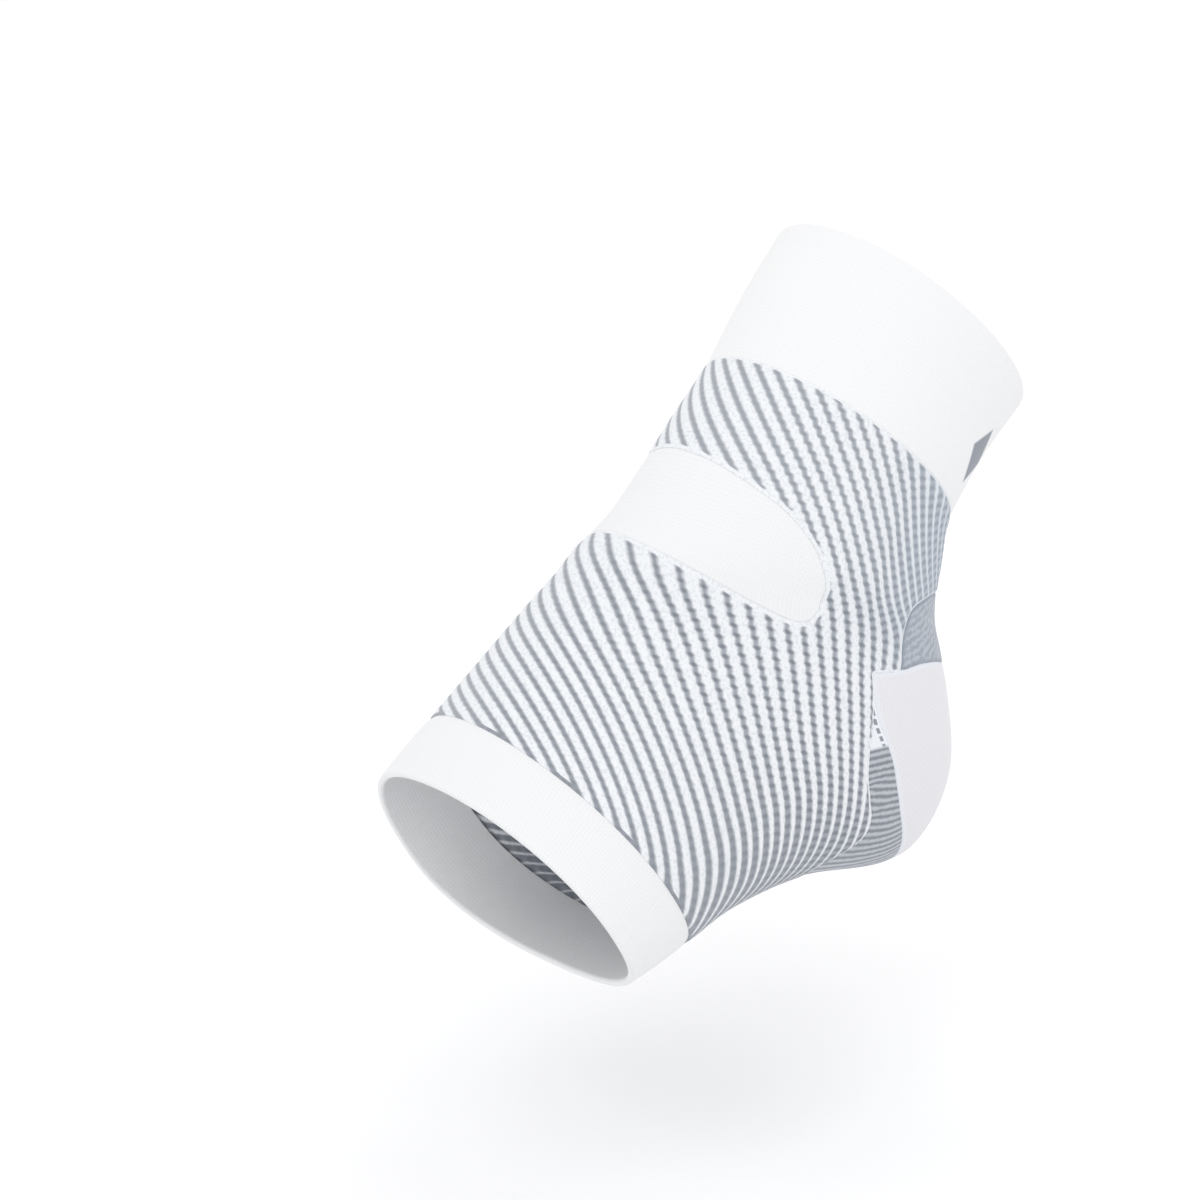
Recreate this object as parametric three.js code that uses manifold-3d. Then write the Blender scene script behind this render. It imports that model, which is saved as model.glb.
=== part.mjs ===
// An open-toed arch support sleeve for a left foot, knitted in one piece and kept in the form it has when
// it is worn, with the toes pointed down. Each zone of the knit is a mesh of its own, cut out of one
// curved wall, with a narrow gap along every border between two zones.
import * as THREE from "three";
import Module from "manifold-3d";

// Driving dimensions in millimetres. The origin is the centre of the ankle joint, the toes point along
// -Y, the outer side of the foot is +X and +Z is up.
const toeReach = 76; // ankle centre forward to the toe opening's upper rim
const heelReach = 70; // ankle centre back to the back of the heel
const soleDrop = 64; // ankle centre down to the sole
const dorsumRise = 36; // ankle centre up to the bend between foot and shin
const legReach = 102; // ankle centre up the leg to the cuff's rim
const shinReach = 36; // leg's line forward to the front of the ankle
const cordReach = 55; // leg's line back to the heel cord
const forefootWidth = 84;
const ankleWidth = 66;
const ribbedWall = 1.5; // knit thickness, measured inwards from the outer face
const patchWall = 1.4;
const heelWall = 1.7;
const weltWall = 1.8; // the doubled knit of the toe band and the ankle cuff
const seamGap = 0.3; // clearance between two zones
const soleTilt = THREE.MathUtils.degToRad(5); // the sole's slope, toes down
const legLean = THREE.MathUtils.degToRad(34.5); // the leg's lean backwards from upright

// Facet sizes
const ringSides = 36;
const rowLength = 7;
const stepsPerEdgeRow = 2; // columns of an inset zone between two rows of its table

// The two directions of the foot and of the leg, in the plane x = 0.
const footAhead = new THREE.Vector3(0, -Math.cos(soleTilt), -Math.sin(soleTilt));
const footUp = new THREE.Vector3(0, -Math.sin(soleTilt), Math.cos(soleTilt));
const legUp = new THREE.Vector3(0, Math.sin(legLean), Math.cos(legLean));
const legFront = new THREE.Vector3(0, -Math.cos(legLean), Math.sin(legLean));

// Sections of the foot, from the toe rim to the bend of the ankle. crest is the section's highest point
// as shares of toeReach ahead and dorsumRise up. keel is its lowest point as shares of toeReach ahead, or
// of heelReach behind when negative, and of soleDrop down. width is a share of forefootWidth in front of
// the heel and of ankleWidth from there on. waist is how far up the section is widest. crown and base are
// the exponents of its upper and lower half ellipse, where 2 is a plain ellipse and more is squarer. lean
// moves the crest towards the inner side of the foot, as a share of the half width.
const footSections = [
  { crest: [1.0, -0.33], keel: [0.63, 1.0], width: 1.0, waist: 0.42, crown: 2.1, base: 2.5, lean: 0.14 },
  { crest: [0.84, -0.03], keel: [0.38, 0.95], width: 0.94, waist: 0.42, crown: 2, base: 2.5, lean: 0.18 },
  { crest: [0.67, 0.28], keel: [0.12, 0.91], width: 0.845, waist: 0.42, crown: 2, base: 2.4, lean: 0.2 },
  { crest: [0.54, 0.54], keel: [-0.25, 0.91], width: 0.78, waist: 0.42, crown: 2, base: 2.3, lean: 0.18 },
];
const heelSections = [
  { crest: [0.43, 0.75], keel: [-0.74, 0.985], width: 0.99, waist: 0.45, crown: 2, base: 2.1, lean: 0.12 },
  { crest: [0.37, 0.89], keel: [-1.0, 0.735], width: 0.985, waist: 0.47, crown: 2, base: 2, lean: 0.06 },
  { crest: [0.3, 0.985], keel: [-1.015, 0.305], width: 0.975, waist: 0.5, crown: 2, base: 1.9, lean: 0 },
];

// Sections of the leg, up to the cuff's rim. front and back are shares of shinReach and cordReach away
// from the leg's line, each with its share of legReach up the leg.
const legSections = [
  { front: [1.0, 0.225], back: [1.0, 0.39], width: 1.02, waist: 0.5, crown: 2, base: 1.8, lean: 0 },
  { front: [0.93, 0.46], back: [0.867, 0.505], width: 0.975, waist: 0.5, crown: 2, base: 1.85, lean: 0 },
  { front: [0.847, 0.637], back: [0.764, 0.578], width: 0.99, waist: 0.5, crown: 2, base: 1.95, lean: 0 },
  { front: [0.847, 0.814], back: [0.773, 0.755], width: 0.975, waist: 0.5, crown: 2, base: 2, lean: 0 },
  { front: [0.833, 0.995], back: [0.855, 0.922], width: 0.96, waist: 0.5, crown: 2, base: 2, lean: 0 },
];

// Rows count the sections from the toe rim, so 2.5 lies half way between the third and the fourth.
// The instep patch: its lower and upper edge, as rows, at angles away from the front of the ankle.
const patchEdges = [
  { away: 0, low: 6.05, high: 7.65 },
  { away: 20, low: 5.88, high: 7.61 },
  { away: 40, low: 5.65, high: 7.5 },
  { away: 55, low: 5.53, high: 7.36 },
  { away: 66, low: 5.53, high: 7.12 },
  { away: 72, low: 5.68, high: 6.8 },
  { away: 75, low: 5.95, high: 6.45 },
];

// The heel's zones share their edges, as rows, at angles away from the middle of the sole and heel. The
// gusset lies between its own low edge and the pocket's, and the panel above the pocket's high edge.
const heelEdges = [
  { away: 0, gussetLow: 2.85, pocketLow: 3.86, pocketHigh: 6.22, panelHigh: 7.5 },
  { away: 20, gussetLow: 2.88, pocketLow: 3.88, pocketHigh: 6.19, panelHigh: 7.47 },
  { away: 34, gussetLow: 2.97, pocketLow: 3.93, pocketHigh: 6.12, panelHigh: 7.4 },
  { away: 47, gussetLow: 3.25, pocketLow: 4.02, pocketHigh: 6.05, panelHigh: 7.31 },
  { away: 59, gussetLow: 3.62, pocketLow: 4.15, pocketHigh: 5.92, panelHigh: 7.1 },
  { away: 67, gussetLow: 3.82, pocketLow: 4.31, pocketHigh: 5.79, panelHigh: 6.82 },
  { away: 71, gussetLow: 3.9, pocketLow: 4.42, pocketHigh: 5.71, panelHigh: 6.3 },
  { away: 74, gussetLow: 3.97, pocketLow: 4.52, pocketHigh: 5.66, panelHigh: 5.7 },
  { away: 80, gussetLow: 4.17, pocketLow: 4.7, pocketHigh: 5.55, panelHigh: 5.55 },
  { away: 84.5, gussetLow: 4.5, pocketLow: 4.86, pocketHigh: 5.47, panelHigh: 5.47 },
  { away: 87.5, gussetLow: 5.02, pocketLow: 5.1, pocketHigh: 5.4, panelHigh: 5.4 },
];
// The last row of heelEdges where the panel has a width.
const panelLast = heelEdges.findLastIndex((edge) => edge.panelHigh > edge.pocketHigh);

const frontAngle = Math.PI / 2;
const backAngle = -Math.PI / 2;

// The point at so far along each of two directions.
function placeAt(first, alongFirst, second, alongSecond) {
  return first.clone().multiplyScalar(alongFirst).addScaledVector(second, alongSecond);
}

// A row of a table with its crest and keel as points and its half width in millimetres.
function footSection(section, widest) {
  const [crestAhead, crestUp] = section.crest;
  const [keelAhead, keelDown] = section.keel;
  const keelReach = keelAhead < 0 ? heelReach : toeReach;
  return {
    ...section,
    crest: placeAt(footAhead, crestAhead * toeReach, footUp, crestUp * dorsumRise),
    keel: placeAt(footAhead, keelAhead * keelReach, footUp, -keelDown * soleDrop),
    half: (section.width * widest) / 2,
  };
}

function legSection(section) {
  const [frontAway, frontUp] = section.front;
  const [backAway, backUp] = section.back;
  return {
    ...section,
    crest: placeAt(legFront, frontAway * shinReach, legUp, frontUp * legReach),
    keel: placeAt(legFront, -backAway * cordReach, legUp, backUp * legReach),
    half: (section.width * ankleWidth) / 2,
  };
}

const sections = [
  ...footSections.map((section) => footSection(section, forefootWidth)),
  ...heelSections.map((section) => footSection(section, ankleWidth)),
  ...legSections.map(legSection),
];

// The rows of the rims and of the ribbed knit's two borders.
const toeRim = 0;
const bandEdge = toeRim + 1;
const cuffRim = sections.length - 1;
const cuffEdge = cuffRim - 2;

const smoothLine = (points) => new THREE.CatmullRomCurve3(points, false, "catmullrom", 0.5);
const crestLine = smoothLine(sections.map((s) => s.crest));
const keelLine = smoothLine(sections.map((s) => s.keel));
const girthLine = smoothLine(sections.map((s) => new THREE.Vector3(s.half, s.waist, s.lean)));
const roundLine = smoothLine(sections.map((s) => new THREE.Vector3(s.crown, s.base, 0)));

// The point of the outer face at a row and an angle. The angle is 0 at the outer side of the foot, a
// quarter turn at the crest and minus a quarter turn at the keel. Across, the section is a half width
// times cos^(2/n). Up, it is its height above or below the waist times sin^(2/n), for its exponent n.
function outerPoint(row, angle) {
  const share = THREE.MathUtils.clamp(row / cuffRim, 0, 1);
  const [half, waist, lean] = girthLine.getPoint(share).toArray();
  const rounds = roundLine.getPoint(share);
  const [across, up] = [Math.cos(angle), Math.sin(angle)];
  const power = 2 / (up < 0 ? rounds.y : rounds.x);
  const bulge = (value) => Math.sign(value) * Math.abs(value) ** power;
  const height = waist + (up < 0 ? waist : 1 - waist) * bulge(up);
  const point = keelLine.getPoint(share).lerp(crestLine.getPoint(share), height);
  point.x = half * (bulge(across) - lean * Math.max(up, 0) ** 2);
  return point;
}

// The outer point with its unit normal, from differences along the row and round the section.
function knitPlace(row, angle) {
  const step = 0.01;
  const alongFoot = outerPoint(row + step, angle).sub(outerPoint(row - step, angle));
  const aroundFoot = outerPoint(row, angle + step).sub(outerPoint(row, angle - step));
  return { point: outerPoint(row, angle), normal: alongFoot.cross(aroundFoot).normalize() };
}

// Rows from one to another, close enough that neither the crest nor the keel moves over rowLength.
function rowsBetween(from, to) {
  const rows = [from];
  for (let k = Math.floor(from); k < to; k += 1) {
    const crestStep = sections[k].crest.distanceTo(sections[k + 1].crest);
    const keelStep = sections[k].keel.distanceTo(sections[k + 1].keel);
    const count = Math.ceil(Math.max(crestStep, keelStep) / rowLength);
    for (let i = 1; i <= count; i += 1) {
      rows.push(Math.min(k + i / count, to));
    }
  }
  return rows;
}

// A ring of knit between two rows, as a grid of places.
function ringGrid(from, to) {
  const turn = (2 * Math.PI) / ringSides;
  return rowsBetween(from, to).map((row) =>
    Array.from({ length: ringSides }, (_, j) => knitPlace(row, j * turn)),
  );
}

// An inset zone as a grid of places, mirrored about its middle angle. edges gives its low and high border
// row at each angle away from the middle, and the zone reaches to the table's row number last. The grid
// has a number of lines from the low to the high border.
function insetGrid({ edges, low, high, middle, last = edges.length - 1, lines }) {
  const column = (name) => smoothLine(edges.map((edge) => new THREE.Vector3(edge[name], 0, 0)));
  const [awayLine, lowLine, highLine] = [column("away"), column(low), column(high)];
  const half = last * stepsPerEdgeRow;
  const columns = Array.from({ length: 2 * half + 1 }, (_, j) => {
    const share = Math.abs(j - half) / (stepsPerEdgeRow * (edges.length - 1));
    const away = THREE.MathUtils.degToRad(awayLine.getPoint(share).x);
    return {
      angle: middle + Math.sign(j - half) * away,
      low: lowLine.getPoint(share).x,
      high: highLine.getPoint(share).x,
    };
  });
  return Array.from({ length: lines }, (_, i) =>
    columns.map((c) => knitPlace(THREE.MathUtils.lerp(c.low, c.high, i / (lines - 1)), c.angle)),
  );
}

// The border of a grid, as closed loops of [row, column] that keep the grid on their inner side. A grid
// that goes round has two loops, at its first and its last row.
function borderLoops(grid, goesRound) {
  const lastI = grid.length - 1;
  const lastJ = grid[0].length - 1;
  const start = grid[0].map((_, j) => [0, j]);
  const end = grid[0].map((_, j) => [lastI, lastJ - j]);
  if (goesRound) {
    return [start, end];
  }
  const inner = grid.slice(1, lastI);
  const right = inner.map((_, i) => [i + 1, lastJ]);
  const left = inner.map((_, i) => [lastI - 1 - i, 0]);
  return [[...start, ...right, ...end, ...left]];
}

// The same grid with its border moved along the knit by margin, outwards when positive. At a corner the
// border moves by the margin from both of the edges that meet there.
function withMargin(grid, margin, goesRound) {
  const moved = grid.map((line) => line.map(({ point, normal }) => ({ point: point.clone(), normal })));
  const outwards = (from, to, normal) =>
    normal.clone().cross(new THREE.Vector3().subVectors(to.point, from.point)).normalize();
  for (const loop of borderLoops(grid, goesRound)) {
    loop.forEach(([i, j], k) => {
      const [before, after] = [loop.at(k - 1), loop[(k + 1) % loop.length]].map(([a, b]) => grid[a][b]);
      const { point, normal } = grid[i][j];
      const first = outwards(before, { point }, normal);
      const second = outwards({ point }, after, normal);
      const shift = margin / Math.max(1 + first.dot(second), 0.5);
      moved[i][j].point.addScaledVector(first.add(second), shift);
    });
  }
  return moved;
}

// A closed solid between two copies of a grid, lifted out of the outer face and sunk below it.
function sheetGeometry(grid, lift, depth, goesRound) {
  const lines = grid.length;
  const columns = grid[0].length;
  const places = grid.flat();
  const face = (offset) => places.flatMap(({ point, normal }) => {
    return point.clone().addScaledVector(normal, offset).toArray();
  });
  const index = [];
  const outerId = (i, j) => i * columns + (j % columns);
  const innerId = (i, j) => lines * columns + outerId(i, j);
  for (let i = 0; i < lines - 1; i += 1) {
    for (let j = 0; j < (goesRound ? columns : columns - 1); j += 1) {
      const corners = [[i, j], [i + 1, j], [i + 1, j + 1], [i, j + 1]];
      const [a, b, c, d] = corners.map(([p, q]) => outerId(p, q));
      const [e, f, g, h] = corners.map(([p, q]) => innerId(p, q));
      index.push(a, b, c, a, c, d, e, g, f, e, h, g);
    }
  }
  for (const loop of borderLoops(grid, goesRound)) {
    loop.forEach(([i, j], k) => {
      const [m, n] = loop[(k + 1) % loop.length];
      index.push(outerId(i, j), outerId(m, n), innerId(m, n));
      index.push(outerId(i, j), innerId(m, n), innerId(i, j));
    });
  }
  const geometry = new THREE.BufferGeometry();
  geometry.setAttribute("position", new THREE.Float32BufferAttribute([...face(lift), ...face(-depth)], 3));
  geometry.setIndex(index);
  return geometry;
}

const wasm = await Module();
wasm.setup();

// A closed geometry whose vertices are shared, as a solid that can be cut.
function solidOf(geometry) {
  return new wasm.Manifold(new wasm.Mesh({
    numProp: 3,
    vertProperties: geometry.getAttribute("position").array,
    triVerts: new Uint32Array(geometry.getIndex().array),
  }));
}

// A solid as flat-shaded geometry.
function geometryOf(solid) {
  const mesh = solid.getMesh();
  const shared = new THREE.BufferGeometry();
  shared.setAttribute("position", new THREE.BufferAttribute(mesh.vertProperties, 3));
  shared.setIndex(new THREE.BufferAttribute(mesh.triVerts, 1));
  const flat = shared.toNonIndexed();
  flat.computeVertexNormals();
  return flat;
}

// The inset zones' grids, and the whole heel's, which the ribbed knit leaves open.
const heelTable = { edges: heelEdges, middle: backAngle };
const patchGrid = insetGrid({ edges: patchEdges, low: "low", high: "high", middle: frontAngle, lines: 6 });
const gussetGrid = insetGrid({ ...heelTable, low: "gussetLow", high: "pocketLow", lines: 4 });
const pocketGrid = insetGrid({ ...heelTable, low: "pocketLow", high: "pocketHigh", lines: 9 });
const panelTable = { ...heelTable, last: panelLast };
const panelGrid = insetGrid({ ...panelTable, low: "pocketHigh", high: "panelHigh", lines: 5 });
const heelGrid = insetGrid({ ...heelTable, low: "gussetLow", high: "panelHigh", lines: 10 });

// Each zone gives way by half the gap along its borders.
const halfGap = seamGap / 2;

function insetSolid(grid, wall) {
  return solidOf(sheetGeometry(withMargin(grid, -halfGap, false), 0, wall, false));
}

function ringSolid(from, to, wall) {
  return solidOf(sheetGeometry(withMargin(ringGrid(from, to), -halfGap, true), 0, wall, true));
}

// What the ribbed knit leaves open for an inset zone, well past both of its faces.
function windowSolid(grid) {
  const clear = 2 * ribbedWall;
  return solidOf(sheetGeometry(withMargin(grid, halfGap, false), clear, clear, false));
}

// The ribbed knit runs from the toe band to the cuff, with one window for the instep patch and one for
// the gusset, the pocket and the panel together.
function ribbedSolid() {
  const ring = ringSolid(bandEdge, cuffEdge, ribbedWall);
  return ring.subtract(windowSolid(patchGrid)).subtract(windowSolid(heelGrid));
}

function knitMaterial(color, roughness) {
  return new THREE.MeshStandardMaterial({ color, roughness, metalness: 0 });
}

const whiteKnit = knitMaterial("#f2f3f5", 0.85);
const ribbedKnit = knitMaterial("#c3c9d2", 0.9);
const greyKnit = knitMaterial("#a3abb7", 0.9);

const sleeve = new THREE.Group();

function addZone(name, solid, material) {
  const mesh = new THREE.Mesh(geometryOf(solid), material);
  mesh.name = name;
  sleeve.add(mesh);
}

addZone("toe_band", ringSolid(toeRim, bandEdge, weltWall), whiteKnit);
addZone("ribbed_sleeve", ribbedSolid(), ribbedKnit);
addZone("instep_patch", insetSolid(patchGrid, patchWall), whiteKnit);
addZone("achilles_panel", insetSolid(panelGrid, ribbedWall), greyKnit);
addZone("heel_pocket", insetSolid(pocketGrid, heelWall), whiteKnit);
addZone("heel_gusset", insetSolid(gussetGrid, ribbedWall), greyKnit);
addZone("ankle_cuff", ringSolid(cuffEdge, cuffRim, weltWall), whiteKnit);

export default sleeve;
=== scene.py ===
# %% [markdown]
# # An arch support sleeve, knitted on numpy grids
#
# This lesson dresses the plain CAD model of an open-toed arch support sleeve. The real thing is one tube
# of knit with several zones: a white toe band, a body with slanting grey ribs, a plain patch on the
# instep, a grey panel on the heel cord, a smooth cup for the heel with a grey gusset under it, and a
# plain cuff. It keeps the form it has on a left foot, with nothing inside it.
#
# A tube like this could be sculpted, or made by shrinking a cylinder on to a foot. Here it is a formula:
# one surface that takes a row along the foot and an angle round it. Every zone is a patch of it, so the
# zones fit each other exactly and their patterns run on across them.

import bpy
import numpy as np
from mathutils import Matrix, Vector


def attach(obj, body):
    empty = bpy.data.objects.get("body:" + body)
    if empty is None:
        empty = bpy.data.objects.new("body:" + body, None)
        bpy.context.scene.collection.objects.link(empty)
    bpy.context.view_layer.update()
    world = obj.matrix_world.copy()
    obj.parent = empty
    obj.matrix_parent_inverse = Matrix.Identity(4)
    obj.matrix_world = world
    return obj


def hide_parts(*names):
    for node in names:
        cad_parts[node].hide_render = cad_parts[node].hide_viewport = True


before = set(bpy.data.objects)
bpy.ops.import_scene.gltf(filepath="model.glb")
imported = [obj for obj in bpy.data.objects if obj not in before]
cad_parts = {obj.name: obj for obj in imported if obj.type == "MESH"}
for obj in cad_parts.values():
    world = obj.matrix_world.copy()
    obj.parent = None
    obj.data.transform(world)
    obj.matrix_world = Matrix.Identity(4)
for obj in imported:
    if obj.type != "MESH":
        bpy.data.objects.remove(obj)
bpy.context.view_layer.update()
print("CAD nodes:", sorted(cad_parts))

# %% [markdown]
# ## The foot's form as a short table
#
# Twelve sections cut the foot and the leg from the toe opening to the top of the cuff. Each has a crest
# on the front of the foot, a keel on the sole or the heel cord, a width, and a roundness for its upper
# and its lower half. These are the sizes that the CAD model was built from, so both have one form.

# %% The table of sections
MM = 0.001
TOE_REACH, HEEL_REACH, SOLE_DROP, DORSUM_RISE = 76, 70, 64, 36
LEG_REACH, SHIN_REACH, CORD_REACH = 102, 36, 55
FOREFOOT_WIDTH, ANKLE_WIDTH = 84, 66
SOLE_TILT, LEG_LEAN = np.radians(5), np.radians(34.5)

# The foot's and the leg's directions, as (y, z) pairs. The toes point along -Y and +Z is up.
FOOT_AHEAD = np.array([-np.cos(SOLE_TILT), -np.sin(SOLE_TILT)])
FOOT_UP = np.array([-np.sin(SOLE_TILT), np.cos(SOLE_TILT)])
LEG_UP = np.array([np.sin(LEG_LEAN), np.cos(LEG_LEAN)])
LEG_FRONT = np.array([-np.cos(LEG_LEAN), np.sin(LEG_LEAN)])

# crest ahead, crest up, keel ahead, keel down, width, waist, crown, base, lean
FOOT = np.array([
    [1.00, -0.33, 0.63, 1.00, 1.000, 0.42, 2.1, 2.5, 0.14],
    [0.84, -0.03, 0.38, 0.95, 0.940, 0.42, 2.0, 2.5, 0.18],
    [0.67, 0.28, 0.12, 0.91, 0.845, 0.42, 2.0, 2.4, 0.20],
    [0.54, 0.54, -0.25, 0.91, 0.780, 0.42, 2.0, 2.3, 0.18],
])
HEEL = np.array([
    [0.43, 0.750, -0.740, 0.985, 0.990, 0.45, 2.0, 2.1, 0.12],
    [0.37, 0.890, -1.000, 0.735, 0.985, 0.47, 2.0, 2.0, 0.06],
    [0.30, 0.985, -1.015, 0.305, 0.975, 0.50, 2.0, 1.9, 0.00],
])
# front away, front up, back away, back up, width, waist, crown, base, lean
LEG = np.array([
    [1.000, 0.225, 1.000, 0.390, 1.020, 0.5, 2.0, 1.80, 0.0],
    [0.930, 0.460, 0.867, 0.505, 0.975, 0.5, 2.0, 1.85, 0.0],
    [0.847, 0.637, 0.764, 0.578, 0.990, 0.5, 2.0, 1.95, 0.0],
    [0.847, 0.814, 0.773, 0.755, 0.975, 0.5, 2.0, 2.00, 0.0],
    [0.833, 0.995, 0.855, 0.922, 0.960, 0.5, 2.0, 2.00, 0.0],
])


def foot_sections(table, widest):
    """Crest and keel points, half width and shape numbers of sections of the foot, in millimetres.

    A point is so far ahead times one direction plus so far up times the other."""
    reach = np.where(table[:, 2] < 0, HEEL_REACH, TOE_REACH)
    crest = np.outer(table[:, 0] * TOE_REACH, FOOT_AHEAD) + np.outer(table[:, 1] * DORSUM_RISE, FOOT_UP)
    keel = np.outer(table[:, 2] * reach, FOOT_AHEAD) - np.outer(table[:, 3] * SOLE_DROP, FOOT_UP)
    return np.column_stack([crest, keel, table[:, 4] * widest / 2, table[:, 5:]])


def leg_sections(table):
    """The same for sections of the leg, measured from the leg's own line."""
    crest = np.outer(table[:, 0] * SHIN_REACH, LEG_FRONT) + np.outer(table[:, 1] * LEG_REACH, LEG_UP)
    keel = np.outer(-table[:, 2] * CORD_REACH, LEG_FRONT) + np.outer(table[:, 3] * LEG_REACH, LEG_UP)
    return np.column_stack([crest, keel, table[:, 4] * ANKLE_WIDTH / 2, table[:, 5:]])


SECTIONS = np.vstack([
    foot_sections(FOOT, FOREFOOT_WIDTH), foot_sections(HEEL, ANKLE_WIDTH), leg_sections(LEG)])
TOE_RIM, BAND_EDGE, CUFF_EDGE, CUFF_RIM = 0, 1, 9, 11
print(len(SECTIONS), "sections with", SECTIONS.shape[1], "numbers each")

# %% [markdown]
# ## One surface for the whole sleeve
#
# Between the sections a Catmull-Rom curve carries every number on smoothly. It passes through each
# value of the table, which a plain average doesn't. Round a section, the form is an ellipse whose
# exponent makes it a little squarer or a little more pointed, as a sole and a heel cord are.


# %% The surface formula
def smooth(values, at):
    """A Catmull-Rom curve through the rows of values, read at row numbers at.

    Each stretch is a cubic. At a row its slope is half the difference of the rows on either side."""
    ends = [2 * values[0] - values[1]], [2 * values[-1] - values[-2]]
    padded = np.concatenate([ends[0], values, ends[1]])
    first = np.clip(np.floor(at).astype(int), 0, len(values) - 2)
    share = (at - first)[..., None]
    a, b, c, d = (padded[first + k] for k in range(4))
    cubic = (c - a) * share + (2 * a - 5 * b + 4 * c - d) * share**2 + (3 * b - a - 3 * c + d) * share**3
    return b + cubic / 2


def bulge(value, exponent):
    """The sign of the value times its size to the power of two over the exponent."""
    return np.sign(value) * np.abs(value) ** (2 / exponent)


def foot_surface(row, angle):
    """Points of the sleeve's outer face, in millimetres, for arrays of rows and of angles in degrees.

    Across, a section is its half width times a rounded cosine. Up, it goes from the keel to the crest
    with a rounded sine about its waist. The crest leans a little to the inner side of the foot."""
    row, angle = np.broadcast_arrays(np.asarray(row, float), np.radians(angle))
    at = smooth(SECTIONS, row)
    crest, keel = at[..., 0:2], at[..., 2:4]
    half, waist, crown, base, lean = np.moveaxis(at[..., 4:], -1, 0)
    across, up = np.cos(angle), np.sin(angle)
    exponent = np.where(up < 0, base, crown)
    height = waist + np.where(up < 0, waist, 1 - waist) * bulge(up, exponent)
    side = half * (bulge(across, exponent) - lean * np.maximum(up, 0) ** 2)
    return np.concatenate([side[..., None], keel + height[..., None] * (crest - keel)], axis=-1)


def unit(vectors):
    """The same vectors with a length of one."""
    return vectors / np.linalg.norm(vectors, axis=-1, keepdims=True)


def slopes(formula, row, angle, step=0.02, turn=1.0):
    """How much a formula of row and angle changes in a row and in a degree, from small differences."""
    by_row = formula(row + step, angle) - formula(row - step, angle)
    by_angle = formula(row, angle + turn) - formula(row, angle - turn)
    return by_row / (2 * step), by_angle / (2 * turn)


def surface_frame(row, angle):
    """Points with two unit directions: along the foot towards the cuff, and outwards from the face,
    which is the cross product of the surface's two slopes."""
    along, around = slopes(foot_surface, row, angle, step=0.01, turn=0.5)
    return foot_surface(row, angle), unit(along), unit(np.cross(along, around))


def lengths_along(points):
    """The length of a line of points from its start to each of them, as a sum of straight steps."""
    steps = np.linalg.norm(np.diff(points, axis=0), axis=-1)
    return np.concatenate([0 * steps[:1], np.cumsum(steps, axis=0)])


INSTEP = 3
girth = lengths_along(foot_surface(INSTEP, np.arange(0, 361, 2)))[-1]
print("girth round the instep in mm:", round(girth))

# %% [markdown]
# ## From arrays to a mesh
#
# Blender takes whole arrays with foreach_set, which is quicker than adding vertices one by one. Each
# zone is a closed wall: an outer face, an inner face and the rims that join them. Its UV maps count
# things. "knit" counts the stitches round and along the sleeve, so that the texture follows the cloth.
# "ribs" counts the ribs of the body and the floats along them, and "fan" the gusset's courses.

# %% Mesh helpers
WALES = 288
COURSE = 0.85
RIBS = 42
NO_PERIOD = 1e9
UV_PERIODS = {"knit": WALES, "ribs": RIBS, "fan": NO_PERIOD}
SHARP = np.radians(50)
ROWS = np.arange(len(SECTIONS))
COURSES = lengths_along(foot_surface(ROWS, 0)) / COURSE


def same_turn(values, period):
    """Corner values with the first number moved by whole periods, to within half a period in a face."""
    first = values[:, :1, 0]
    around = first + (values[..., 0] - first + period / 2) % period - period / 2
    return np.stack([around, values[..., 1]], -1)


def grid_faces(ids, wrap=(0, 0)):
    """Four-sided faces between neighbouring lines and columns of a grid of point numbers.

    wrap says how many of the first lines and columns follow once more after the last."""
    ids = np.pad(ids, ((0, wrap[0]), (0, wrap[1])), mode="wrap")
    return np.stack([ids[:-1, :-1], ids[1:, :-1], ids[1:, 1:], ids[:-1, 1:]], -1).reshape(-1, 4)


def add_object(name, data):
    """An object with the given mesh, camera or light, in the scene."""
    made = bpy.data.objects.new(name, data)
    bpy.context.scene.collection.objects.link(made)
    return made


def build_mesh(name, points, faces, uv_maps, attributes):
    """One object from points in millimetres and arrays of three- or four-sided faces."""
    mesh = bpy.data.meshes.new(name)
    corners = np.concatenate([part.ravel() for part in faces])
    sizes = np.concatenate([np.full(len(part), part.shape[1]) for part in faces])
    mesh.vertices.add(len(points))
    mesh.vertices.foreach_set("co", (points * MM).ravel())
    mesh.loops.add(len(corners))
    mesh.loops.foreach_set("vertex_index", corners)
    mesh.polygons.add(len(sizes))
    mesh.polygons.foreach_set("loop_start", np.cumsum(sizes) - sizes)
    mesh.polygons.foreach_set("use_smooth", np.ones(len(sizes), bool))
    for uv_name, values in uv_maps.items():
        layer = mesh.uv_layers.new(name=uv_name)
        pairs = [same_turn(values[part], UV_PERIODS[uv_name]).ravel() for part in faces]
        layer.data.foreach_set("uv", np.concatenate(pairs))
    for key, values in attributes.items():
        mesh.attributes.new(key, "FLOAT", "POINT").data.foreach_set("value", values)
    mesh.update(calc_edges=True)
    mesh.set_sharp_from_angle(angle=SHARP)
    print(f"{name}: {len(points)} points, {(sizes - 2).sum()} triangles")
    return add_object(name, mesh)


def stitches(row, angle):
    """Stitch counts round and along the sleeve: a share of the turn, and courses summed over the rows."""
    return np.stack([angle / 360 * WALES, np.interp(row, ROWS, COURSES)], -1)

# %% [markdown]
# ## The toe band and the ankle cuff
#
# Both are welts: the knit is folded over and doubled, which makes them plain, a little thicker than the
# rest and slightly puffed, with a soft rolled edge at the opening. Each is one profile carried round the
# foot. It runs along the outer face, round the rolled rim and back along the inner face, and ends in a
# thin tongue that lies under the ribbed body's edge, so that no gap shows.

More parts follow.
